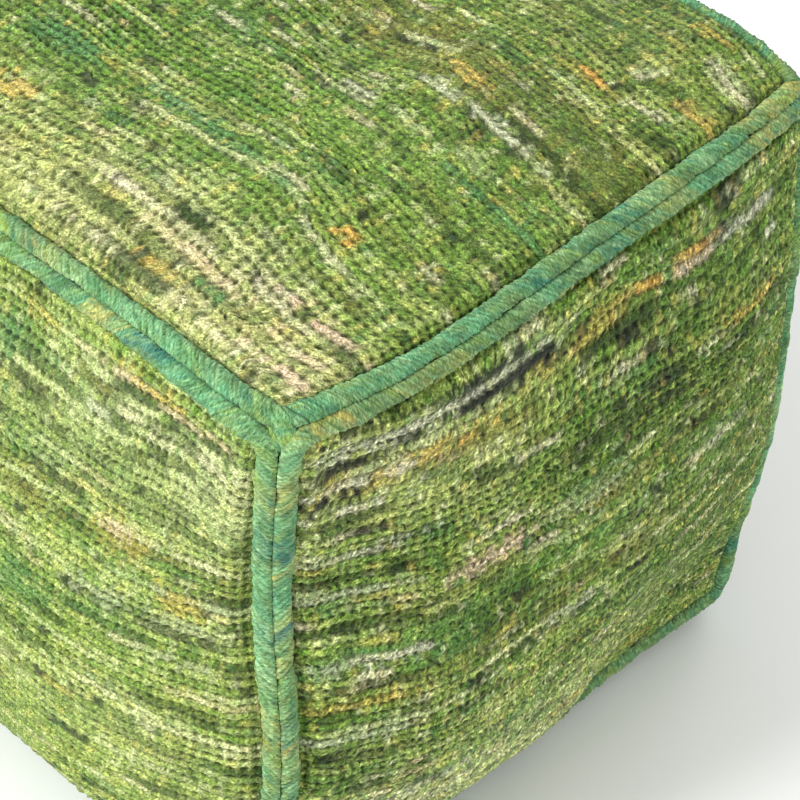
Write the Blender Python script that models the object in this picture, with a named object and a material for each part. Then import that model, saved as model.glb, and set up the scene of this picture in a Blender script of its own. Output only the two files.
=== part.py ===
"""Cube pouf stool: a filled cube of six woven panels, with a rolled overcast edging round each panel.

The cover is one filled solid whose six crowned faces are the six panels. Each panel's edge is wrapped
in thick yarn, which makes a roll; two rolls lie side by side along every seam. The pouf stands on the
flat middle of its bottom panel. Metres, +Z up, origin in the middle of the floor face. A point of the
cube is named by its place (u, v, w), each from -1 to 1, and `puffed` says where the filling pushes it.
"""
import bpy
import bmesh
import numpy as np

# ---- Driving dimensions, in metres ----
CORNER_HALF = 0.212         # from the middle to a corner, along X or Y
CORNER_SPLAY = 0.0035       # the top corners stand this much further out, the bottom ones further in
FOOT_RISE = 0.016           # the bottom seams' height above the floor
TOP_CORNER = 0.423          # the top corners' height above the floor
TOP_SEAM_BOW = 0.015        # how far a top seam swells out at its middle, level
FOOT_SEAM_BOW = 0.003       # the same for a bottom seam
TOP_SEAM_LIFT = 0.0032      # how far a top seam swells up at its middle
UPRIGHT_BOW = 0.0115        # how far an upright seam swells out, along X and along Y
SIDE_CROWN = 0.0297         # how far a side panel's middle stands out past its seams
TOP_CROWN = 0.0297          # the same for the top panel, upwards
BELLY = 0.74                # share by which the swelling grows towards the floor
ROLL_RADIUS = 0.0062        # the wrapped edge of a panel, a soft roll of yarn
GAP = 0.0003                # between the rolls, and between a roll and the cover

# ---- Form of the swelling: powers of the place along a seam or across a panel ----
SEAM_POWER = 4.13
UPRIGHT_POWER = 3.28
CROWN_POWER = 4.0
FLOOR_SPREAD = 2.2          # how soon the bottom panel reaches the floor, going in from its seams

# ---- Grid of the cover ----
ROWS = 14                   # strips across a panel
SEAT_ROW = 0.905            # place of the row where the rolls' seat ends and the panel begins
ROW_SPREAD = 0.2            # how much closer the rows lie near the seams
TURN_POINTS = 3             # points of a roll's path between two runs, round a panel's corner
TURN_HANDLE = 0.39          # a turn's handles as a share of its chord, as for a quarter circle

# ---- Unevenness of the hand-filled cover: place on the cube, reach, and the push in millimetres ----
PUSHES = (
    # name                          u     v     w     reach  x      y     z
    ("front top corner",            1.0, -1.0,  1.0,  0.50,  0.0,  -4.0, -6.0),
    ("right top corner",            1.0,  1.0,  1.0,  0.60, -2.0,   5.0,  8.0),
    ("left top corner",            -1.0, -1.0,  1.0,  0.60,  3.0,  -2.0, -4.0),
    ("back top corner",            -1.0,  1.0,  1.0,  0.60, -3.0,   2.0, -3.0),
    ("front seam, upper",           1.0, -1.0,  0.35, 0.50, -15.0,  5.0,  0.0),
    ("front seam, lower",           1.0, -1.0, -0.5,  0.55,  8.0,   7.0,  0.0),
    ("right seam",                  1.0,  1.0,  0.0,  0.60,  0.0,  -3.0,  0.0),
    ("back seam",                  -1.0,  1.0,  0.1,  0.55,  4.0,  -3.0,  0.0),
    ("back top seam, near right",   0.7,  1.0,  1.0,  0.60,  0.0,   8.0,  2.0),
    ("left top seam",               0.0, -1.0,  1.0,  0.60,  0.0,   5.0,  0.0),
    ("left top seam, near front",   0.6, -1.0,  1.0,  0.35,  0.0,   0.0,  6.0),
    ("right top seam, near front",  1.0, -0.5,  1.0,  0.45, -1.0,   0.0, -11.0),
    ("left panel",                 -1.0,  0.1, -0.3,  0.60, -5.0,   0.0,  0.0),
)
MILLIMETRE = 0.001

# ---- The right panel's low far corner: the filling is slack there, and its foot stands out ----
#              u     v     w     reach  share of the swelling that is lost
SLACK =       (1.0,  0.7, -0.82, 0.50,  0.9)
#              u     v     w     reach  x    y    z (mm)
FOOT_PUSH =   (1.0,  1.0, -1.0,  0.50,  8.0, 4.0, 0.0)

# ---- Panels: the axis that each one faces, the side of it, and the colour of its edging ----
PANELS = (
    # name     axis side  edging colour
    ("top",    2,   1,    (0.24, 0.47, 0.33)),
    ("bottom", 2,  -1,    (0.27, 0.42, 0.24)),
    ("right",  0,   1,    (0.22, 0.40, 0.29)),
    ("left",   0,  -1,    (0.28, 0.46, 0.28)),
    ("front",  1,  -1,    (0.25, 0.49, 0.35)),
    ("back",   1,   1,    (0.20, 0.39, 0.33)),
)
COVER_COLOUR = (0.33, 0.39, 0.13)
YARN_ROUGHNESS = 0.95


def clear_scene():
    for item in list(bpy.data.objects):
        bpy.data.objects.remove(item, do_unlink=True)


def yarn(name, colour):
    """Matt yarn of one colour."""
    material = bpy.data.materials.new(name)
    material.use_nodes = True
    shader = material.node_tree.nodes["Principled BSDF"]
    shader.inputs["Base Color"].default_value = (*colour, 1.0)
    shader.inputs["Roughness"].default_value = YARN_ROUGHNESS
    shader.inputs["Metallic"].default_value = 0.0
    return material


def puffed(places):
    """Where the filling pushes each place of the cube's surface, as an array of points.

    A panel's edge swells by 1 - |place|^power, most at its middle. The sides' swelling also fades
    out towards the top and bottom seams, and grows by BELLY towards the floor.
    """
    u, v, w = places.T
    along_u = 1 - np.abs(u) ** SEAM_POWER
    along_v = 1 - np.abs(v) ** SEAM_POWER
    crown_u = 1 - np.abs(u) ** CROWN_POWER
    crown_v = 1 - np.abs(v) ** CROWN_POWER
    upright = (1 - np.abs(w) ** UPRIGHT_POWER) * (1 - BELLY * w)
    upright = upright * (1 - SLACK[4] * nearness(places, *SLACK[:4]))
    down = np.clip(-w, 0, 1)
    up = np.clip(w, 0, 1) ** 2
    bow = TOP_SEAM_BOW + (FOOT_SEAM_BOW - TOP_SEAM_BOW) * down
    half = CORNER_HALF + CORNER_SPLAY * w + UPRIGHT_BOW * upright
    x = u * (half + bow * along_v + SIDE_CROWN * crown_v * upright)
    y = v * (half + bow * along_u + SIDE_CROWN * crown_u * upright)
    z = FOOT_RISE + (TOP_CORNER - FOOT_RISE) * (w + 1) / 2
    z = z + up * (TOP_SEAM_LIFT * (along_u + along_v) + TOP_CROWN * crown_u * crown_v)
    pressed = np.clip(FLOOR_SPREAD * crown_u * crown_v, 0, 1)
    z = z - np.where(w <= -1, FOOT_RISE * pressed, 0)
    points = np.stack([x, y, z], axis=1)
    off_floor = np.clip(1 + w, 0, 1)
    for _, at_u, at_v, at_w, reach, dx, dy, dz in PUSHES:
        share = off_floor * nearness(places, at_u, at_v, at_w, reach)
        points += share[:, None] * np.array([dx, dy, dz]) * MILLIMETRE
    return points + nearness(places, *FOOT_PUSH[:4])[:, None] * np.array(FOOT_PUSH[4:]) * MILLIMETRE


def nearness(places, at_u, at_v, at_w, reach):
    """1 at a place on the cube, falling away as exp(-(distance / reach)^2)."""
    return np.exp(-np.sum((places - [at_u, at_v, at_w]) ** 2, axis=1) / reach ** 2)


def seated(places):
    """`puffed`, with the seams cut back to the flat seat that the rolls lie on.

    A place on a seam goes to the mean of the panels' nearest rows beside it, so that the strip
    between those two rows is flat. A corner goes to the mean of its three panels' corner rows.
    """
    rim = np.abs(places) >= 1
    total = np.zeros_like(places)
    count = np.zeros((len(places), 1))
    for axis in range(3):
        beside = places.copy()
        others = rim.copy()
        others[:, axis] = False
        beside[others] *= SEAT_ROW
        on_panel = rim[:, axis:axis + 1]
        total += on_panel * puffed(beside)
        count += on_panel
    return total / count


def row_places():
    """The rows' places across a panel, closer together near the seams, with the seams outermost."""
    share = np.linspace(-1, 1, ROWS - 1)
    inner = SEAT_ROW * share * (1 + ROW_SPREAD - ROW_SPREAD * share ** 2)
    return np.concatenate([[-1.0], inner, [1.0]])


def make_cover(collection):
    """The filled cover: a cube cut into a grid, with each point moved to its puffed place."""
    shape = bmesh.new()
    bmesh.ops.create_cube(shape, size=2)
    bmesh.ops.subdivide_edges(shape, edges=shape.edges[:], cuts=ROWS - 1, use_grid_fill=True)
    even = np.array([point.co[:] for point in shape.verts])
    step = np.rint((even + 1) * ROWS / 2).astype(int)
    for point, place in zip(shape.verts, seated(row_places()[step])):
        point.co = place
    bmesh.ops.recalc_face_normals(shape, faces=shape.faces[:])
    mesh = bpy.data.meshes.new("cover")
    shape.to_mesh(mesh)
    shape.free()
    mesh.shade_smooth()
    cover = bpy.data.objects.new("cover", mesh)
    cover.data.materials.append(yarn("woven_cover", COVER_COLOUR))
    collection.objects.link(cover)


def unit(vectors):
    return vectors / np.linalg.norm(vectors, axis=-1, keepdims=True)


def run_path(axis, side, turn):
    """One straight run of a panel's roll, along one of its four seams.

    The roll's middle is a radius above the seat and a radius to its own panel's side of the seam.
    """
    across, along = (axis + 1) % 3, (axis + 2) % 3
    if turn % 2:
        across, along = along, across
    sign = 1 if turn in (0, 1) else -1
    heading = 1 if turn in (0, 3) else -1
    rows = row_places()[1:-1] * heading
    seam = np.zeros((len(rows), 3))
    seam[:, axis] = side
    seam[:, across] = sign
    seam[:, along] = rows
    own_row = seam.copy()
    own_row[:, across] *= SEAT_ROW
    seat = seated(seam)
    inward = unit(puffed(own_row) - seat)
    forward = unit(np.gradient(seat, axis=0))
    outward = unit(np.cross(forward, inward))
    middle = puffed(np.zeros((1, 3)))
    facing = np.sign(np.sum(outward * (seat - middle), axis=1, keepdims=True))
    return seat + inward * (ROLL_RADIUS + GAP / 2) + outward * facing * (ROLL_RADIUS + GAP)


def turn_path(before, after):
    """The points between two runs, on the curve that leaves one and meets the other smoothly."""
    start, end = before[-1], after[0]
    reach = TURN_HANDLE * np.linalg.norm(end - start)
    first = start + reach * unit(before[-1] - before[-2])
    second = end - reach * unit(after[1] - after[0])
    share = np.linspace(0, 1, TURN_POINTS + 2)[1:-1, None]
    rest = 1 - share
    return rest ** 3 * start + 3 * rest ** 2 * share * first + 3 * rest * share ** 2 * second + share ** 3 * end


def make_edging(name, axis, side, colour, collection):
    """The roll round one panel: four runs and four turns, joined in a ring."""
    runs = [run_path(axis, side, turn) for turn in range(4)]
    path = []
    for number, run in enumerate(runs):
        path.extend(run)
        path.extend(turn_path(run, runs[(number + 1) % 4]))
    curve = bpy.data.curves.new(f"edging_{name}", "CURVE")
    curve.dimensions = "3D"
    curve.bevel_depth = ROLL_RADIUS
    curve.bevel_resolution = 2
    curve.use_fill_caps = True
    spline = curve.splines.new("POLY")
    spline.points.add(len(path) - 1)
    for point, place in zip(spline.points, path):
        point.co = (*place, 1.0)
    spline.use_cyclic_u = True
    spline.use_smooth = True
    edging = bpy.data.objects.new(f"edging_{name}", curve)
    edging.data.materials.append(yarn(f"edging_yarn_{name}", colour))
    collection.objects.link(edging)


def main():
    clear_scene()
    collection = bpy.data.collections.new("cube_pouf_stool")
    bpy.context.scene.collection.children.link(collection)
    make_cover(collection)
    for name, axis, side, colour in PANELS:
        make_edging(name, axis, side, colour, collection)


main()
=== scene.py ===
"""Looks of the cube pouf stool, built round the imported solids.

Six woven panels stand for the filled cover, and six overcast edgings stand for the plain rolls. A place
on the cube is named (u, v, w), each from -1 to 1, and `puffed` says where the filling pushes it. A panel
has its own two directions: s along its woven rows and t across them. Metres, +Z up.
"""

import bpy
import numpy as np
from mathutils import Matrix


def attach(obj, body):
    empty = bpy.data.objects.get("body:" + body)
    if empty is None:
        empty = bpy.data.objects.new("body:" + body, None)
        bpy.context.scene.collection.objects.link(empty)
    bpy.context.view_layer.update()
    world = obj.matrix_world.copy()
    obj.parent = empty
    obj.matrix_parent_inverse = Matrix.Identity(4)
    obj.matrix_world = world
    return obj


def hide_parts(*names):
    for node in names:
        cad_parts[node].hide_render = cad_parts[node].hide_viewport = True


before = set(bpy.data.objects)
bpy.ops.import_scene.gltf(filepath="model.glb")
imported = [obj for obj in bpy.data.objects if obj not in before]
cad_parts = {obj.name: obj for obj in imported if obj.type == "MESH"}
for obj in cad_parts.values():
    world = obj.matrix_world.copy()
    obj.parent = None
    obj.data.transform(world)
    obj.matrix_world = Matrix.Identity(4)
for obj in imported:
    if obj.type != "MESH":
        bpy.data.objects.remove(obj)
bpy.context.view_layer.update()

# ---- Form of the filled cover, in metres: the same named sizes as the solids ----
MILLIMETRE = 0.001
CORNER_HALF = 0.212
CORNER_SPLAY = 0.0035
FOOT_RISE = 0.016
TOP_CORNER = 0.423
TOP_SEAM_BOW = 0.015
FOOT_SEAM_BOW = 0.003
TOP_SEAM_LIFT = 0.0032
UPRIGHT_BOW = 0.0115
SIDE_CROWN = 0.0297
TOP_CROWN = 0.0297
BELLY = 0.74
SEAM_POWER = 4.13
UPRIGHT_POWER = 3.28
CROWN_POWER = 4.0
FLOOR_SPREAD = 2.2
SEAT_ROW = 0.905            # place where the rolls' seat ends and the woven face begins
GAP = 0.0003
MIDDLE = (0.0, 0.0, TOP_CORNER / 2)

PUSHES = (
    # name                          u     v     w     reach  x      y     z (mm)
    ("front top corner",            1.0, -1.0,  1.0,  0.50,  0.0,  -4.0, -6.0),
    ("right top corner",            1.0,  1.0,  1.0,  0.60, -2.0,   5.0,  8.0),
    ("left top corner",            -1.0, -1.0,  1.0,  0.60,  3.0,  -2.0, -4.0),
    ("back top corner",            -1.0,  1.0,  1.0,  0.60, -3.0,   2.0, -3.0),
    ("front seam, upper",           1.0, -1.0,  0.35, 0.50, -15.0,  5.0,  0.0),
    ("front seam, lower",           1.0, -1.0, -0.5,  0.55,  8.0,   7.0,  0.0),
    ("right seam",                  1.0,  1.0,  0.0,  0.60,  0.0,  -3.0,  0.0),
    ("back seam",                  -1.0,  1.0,  0.1,  0.55,  4.0,  -3.0,  0.0),
    ("back top seam, near right",   0.7,  1.0,  1.0,  0.60,  0.0,   8.0,  2.0),
    ("left top seam",               0.0, -1.0,  1.0,  0.60,  0.0,   5.0,  0.0),
    ("left top seam, near front",   0.6, -1.0,  1.0,  0.35,  0.0,   0.0,  6.0),
    ("right top seam, near front",  1.0, -0.5,  1.0,  0.45, -1.0,   0.0, -11.0),
    ("left panel",                 -1.0,  0.1, -0.3,  0.60, -5.0,   0.0,  0.0),
)
FOOT_PUSHES = (
    # pushes that the floor doesn't hold back
    ("right back foot",             1.0,  1.0, -1.0,  0.50,  8.0,   4.0,  0.0),
)
SLACK_PLACE = (1.0, 0.7, -0.82)     # the right panel's low far corner, which is slack
SLACK_REACH = 0.50
SLACK_SHARE = 0.9                   # share of the swelling that is lost there

# ---- Panels: facing axis and side, axes of s and t, pitch of the rows in millimetres near t = -1, in
# the middle and near t = 1, points across a row and along a loop, the yarn that most of the panel is,
# its tone, and the power that spreads the colours about that tone ----
PANELS = (
    # name     axis side s  t   low   mid   high  row loop yarn     tone  contrast
    ("top",    2,   1,   0, 1,  8.4,  6.2,  7.0,  4,  4,  "grass",  0.34, 1.08),
    ("front",  1,  -1,   0, 2,  5.8,  5.8,  7.6,  4,  4,  "leaf",   0.51, 0.95),
    ("right",  0,   1,   1, 2,  5.8,  5.8,  7.4,  4,  4,  "grass",  0.44, 1.20),
    ("left",   0,  -1,   1, 2,  6.0,  6.0,  7.6,  3,  4,  "leaf",   0.50, 1.00),
    ("back",   1,   1,   0, 2,  6.0,  6.0,  7.6,  3,  4,  "leaf",   0.48, 1.00),
    ("bottom", 2,  -1,   0, 1,  7.0,  6.4,  7.0,  2,  2,  "leaf",   0.46, 1.00),
)
PANEL_SEED = 100            # a panel's chance starts from this plus its number
LOOP_PITCH = 6.6 * MILLIMETRE
WOVEN_EDGE = 0.97           # place where the woven rows end, under the rolls
LINE_POINTS = 400           # points along a panel's middle line, to measure it
PITCH_POINTS = 600          # points along the rows' run, to count them
LOW_ROWS = (0.32, 0.08)     # shares of the length over which the middle pitch turns into the low one
HIGH_ROWS = (0.68, 0.92)    # and into the high one

RELIEF = 1.15 * MILLIMETRE  # height of a loop above the mean of the weave
VALLEY = 0.45               # share of that height lost between rows,
HOLE = 0.42                 # in a hole where loops' ends meet,
JOINT = 0.13                # and between the loops of a row
LOOP_SIZE = 0.9             # mean height of the loops, as a share, with its slow and its chance spread
LOOP_SIZE_DRIFT = 0.2
LOOP_SIZE_CHANCE = 0.26
LOOP_SIZES = (0.25, 1.7)    # smallest and largest
HOLE_DEPTH = 0.85           # mean depth of the holes, as a share, with its slow and its chance spread
HOLE_DRIFT = 0.25
HOLE_CHANCE = 0.3
HOLE_DEEPEST = 1.5
ROUGHNESS = 0.3 * MILLIMETRE
LUMPS = 1.4 * MILLIMETRE    # soft unevenness of the filling

ROW_SHIFT = 0.17            # loops that every second row is moved along
ROW_CHANCE = 0.1            # chance part of that
STRAY = 0.4                 # slow wander of the loops along their row, in loops
WAVER = 0.4                 # how far a row strays from straight, in rows
QUIVER = 0.1                # quick part of both
CALM_EDGE = 5               # rows or loops from a panel's edge over which all this fades in

SWELL = 3.3 * MILLIMETRE    # how far the filling lifts the weave beside a roll
SWELL_PLACE = 0.915
SWELL_REACH = 0.075
SWELL_FULL = 0.925          # the swell drops to nothing under the roll, between these places
SWELL_END = 0.972
FOOT_SWELL_FROM = -0.9      # the swell fades out down a side between these heights
FOOT_SWELL_TO = -0.5
HEART = 0.03                # where a panel's closed back ends, as a share of the way out from the middle
HEART_COLOUR = (0.1, 0.1, 0.05)

# ---- Yarn colours, as 0 to 255 on a screen ----
YARNS = {
    "night": (38, 46, 36),
    "forest": (62, 84, 38),
    "moss": (88, 118, 48),
    "grass": (106, 146, 58),
    "leaf": (134, 161, 78),
    "lime": (167, 185, 98),
    "straw": (194, 206, 126),
    "pale": (216, 226, 168),
    "cream": (226, 222, 184),
    "blush": (220, 200, 164),
    "mustard": (194, 176, 92),
    "orange": (212, 172, 86),
    "olive": (122, 120, 58),
    "silver": (184, 192, 156),
    "sea": (84, 134, 78),
    "teal": (58, 128, 106),
    "aqua": (110, 174, 126),
    "mint": (156, 200, 144),
    "ocean": (46, 108, 116),
    "sprout": (148, 178, 90),
    "lemon": (200, 192, 104),
    "reed": (120, 156, 98),
}
TONES = ("forest", "moss", "grass", "leaf", "lime", "straw", "pale", "cream")
TONE_STOPS = (0.02, 0.2, 0.34, 0.48, 0.62, 0.76, 0.9, 1.0)
DARKEST = 0.004             # least light of a yarn in any colour
DRIFT_SPREAD = 0.66         # spread of eased-in chance values, before it is brought to 1


def linear(name):
    """A yarn's colour as light: the standard screen curve, undone."""
    share = np.array(YARNS[name]) / 255
    return np.where(share <= 0.04045, share / 12.92, ((share + 0.055) / 1.055) ** 2.4)


def nearness(places, at, reach):
    """1 at a place on the cube, falling away as exp(-(distance / reach)^2)."""
    return np.exp(-np.sum((places - np.array(at)) ** 2, axis=1) / reach ** 2)


def pushed(places, pushes):
    """The named pushes added up, each a vector times its place's nearness."""
    moves = np.zeros_like(places)
    for _, at_u, at_v, at_w, reach, *vector in pushes:
        moves += nearness(places, (at_u, at_v, at_w), reach)[:, None] * np.array(vector) * MILLIMETRE
    return moves


def puffed(places):
    """Where the filling pushes each place: half widths bowed by 1 - |place|^power, plus the pushes.

    The pushes fade out at the floor, apart from the foot's own.
    """
    u, v, w = places.T
    along_u = 1 - np.abs(u) ** SEAM_POWER
    along_v = 1 - np.abs(v) ** SEAM_POWER
    crown_u = 1 - np.abs(u) ** CROWN_POWER
    crown_v = 1 - np.abs(v) ** CROWN_POWER
    upright = (1 - np.abs(w) ** UPRIGHT_POWER) * (1 - BELLY * w)
    upright = upright * (1 - SLACK_SHARE * nearness(places, SLACK_PLACE, SLACK_REACH))
    down = np.clip(-w, 0, 1)
    up = np.clip(w, 0, 1) ** 2
    bow = TOP_SEAM_BOW + (FOOT_SEAM_BOW - TOP_SEAM_BOW) * down
    half = CORNER_HALF + CORNER_SPLAY * w + UPRIGHT_BOW * upright
    x = u * (half + bow * along_v + SIDE_CROWN * crown_v * upright)
    y = v * (half + bow * along_u + SIDE_CROWN * crown_u * upright)
    z = FOOT_RISE + (TOP_CORNER - FOOT_RISE) * (w + 1) / 2
    z = z + up * (TOP_SEAM_LIFT * (along_u + along_v) + TOP_CROWN * crown_u * crown_v)
    pressed = np.clip(FLOOR_SPREAD * crown_u * crown_v, 0, 1)
    z = z - np.where(w <= -1, FOOT_RISE * pressed, 0)
    off_floor = np.clip(1 + w, 0, 1)[:, None]
    return np.stack([x, y, z], axis=1) + off_floor * pushed(places, PUSHES) + pushed(places, FOOT_PUSHES)


def seated(places):
    """`puffed`, with a seam moved to the mean of its panels' rows at SEAT_ROW, the rolls' flat seat."""
    rim = np.abs(places) >= 1
    total = np.zeros_like(places)
    count = np.zeros((len(places), 1))
    for axis in range(3):
        beside = places.copy()
        others = rim.copy()
        others[:, axis] = False
        beside[others] *= SEAT_ROW
        on_panel = rim[:, axis:axis + 1]
        total += on_panel * puffed(beside)
        count += on_panel
    return total / count


def snapped(place):
    """The places on SEAT_ROW and on the seam that a place past SEAT_ROW lies between, with weights."""
    past = np.clip((np.abs(place) - SEAT_ROW) / (1 - SEAT_ROW), 0, 1)
    return (1 - past, np.clip(place, -SEAT_ROW, SEAT_ROW)), (past, np.where(place < 0, -1, 1))


def skin(axis, side, along, across, s, t):
    """The panel's face at s and t: `puffed` up to SEAT_ROW, then straight down the seat to the seam.

    Past SEAT_ROW it is bilinear, between the places that s and t each snap to.
    """
    points = np.zeros((s.size, 3))
    for weight_s, place_s in snapped(s.ravel()):
        for weight_t, place_t in snapped(t.ravel()):
            places = np.zeros_like(points)
            places[:, axis] = side
            places[:, along] = place_s
            places[:, across] = place_t
            points += (weight_s * weight_t)[:, None] * seated(places)
    return points.reshape(s.shape + (3,))


def unit(vectors):
    return vectors / np.linalg.norm(vectors, axis=-1, keepdims=True)


def drift(rng, shape, reach):
    """Smooth noise of mean 0 and spread about 1: random values `reach` apart, eased in between."""
    values = rng.normal(size=(int(shape[0] / reach[0]) + 3, int(shape[1] / reach[1]) + 3))
    for turn in (0, 1):
        place = np.arange(shape[turn]) / reach[turn] + rng.random()
        whole = place.astype(int)
        share = ease(0, 1, place - whole)[:, None]
        values = values[whole] * (1 - share) + values[whole + 1] * share
        values = values.T
    return values / DRIFT_SPREAD


def tone_colour(tone):
    """The green yarns in order from dark to light, straight from one to the next by tone."""
    stops = np.array([linear(name) for name in TONES])
    return np.stack([np.interp(tone, TONE_STOPS, stops[:, channel]) for channel in range(3)], axis=-1)


def mix(colour, other, share):
    return colour * (1 - share[..., None]) + other * share[..., None]


def ease(low, high, value):
    """0 below low, 1 above high, and a smooth step between."""
    share = np.clip((value - low) / (high - low), 0, 1)
    return share * share * (3 - 2 * share)


# ---- Chance colours of the weave ----
TONE_NOISES = (
    # spread of the tone, and the noise's reach in rows and plies
    (0.045, 9.0, 32),
    (0.060, 1.0, 18),
    (0.070, 0.7, 3),
)
PLY_CHANCE = 0.07           # each ply's own chance of tone
PANEL_YARN_SHARE = 0.2      # how much of a ply is the panel's own yarn
GRAIN = 0.2                 # chance lightness of the yarn from point to point
GRAIN_POWER = 4             # of the panel's contrast, which the grain is multiplied by
DYE = (0.86, 0.87, 0.76)    # what every yarn colour of the weave is multiplied by
PLY_BLEND = (0.2, 0.8)      # shares of the way between two plies over which their colours turn

STREAKS = (
    # yarn      start  full  rows  plies share
    ("straw",   0.9,   2.2,  0.9,  26,   0.42),
    ("pale",    1.3,   2.2,  0.7,  14,   0.50),
    ("moss",    0.8,   1.9,  0.9,  20,   0.50),
    ("forest",  1.4,   2.1,  0.6,  9,    0.75),
    ("sea",     1.1,   2.2,  1.4,  18,   0.45),
    ("olive",   1.3,   2.4,  1.2,  20,   0.40),
    ("mustard", 2.1,   3.0,  0.7,  12,   0.40),
    ("cream",   1.7,   2.5,  0.7,  10,   0.50),
    ("blush",   2.2,   3.0,  0.7,  10,   0.35),
    ("night",   1.9,   2.4,  0.6,  6,    0.85),
)
STREAK_RAG = 0.2            # chance from ply to ply that makes a streak's edge ragged

FLECK_YARNS = ("pale", "lime", "sprout", "grass", "moss", "sea", "lemon", "forest")
FLECK_SHARE = 0.6           # most that one ply takes of a fleck's colour

AREA_RAG = 0.25             # chance from ply to ply that breaks up an area
AREA_BLEND = (0.12, 0.65)   # how far inside an area its colour starts and is full
NARROWEST = 0.0125          # reach across of an area that is one row
BROAD_AREA = 0.02           # reach along x reach across, above which an area lies under the streaks

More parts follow.
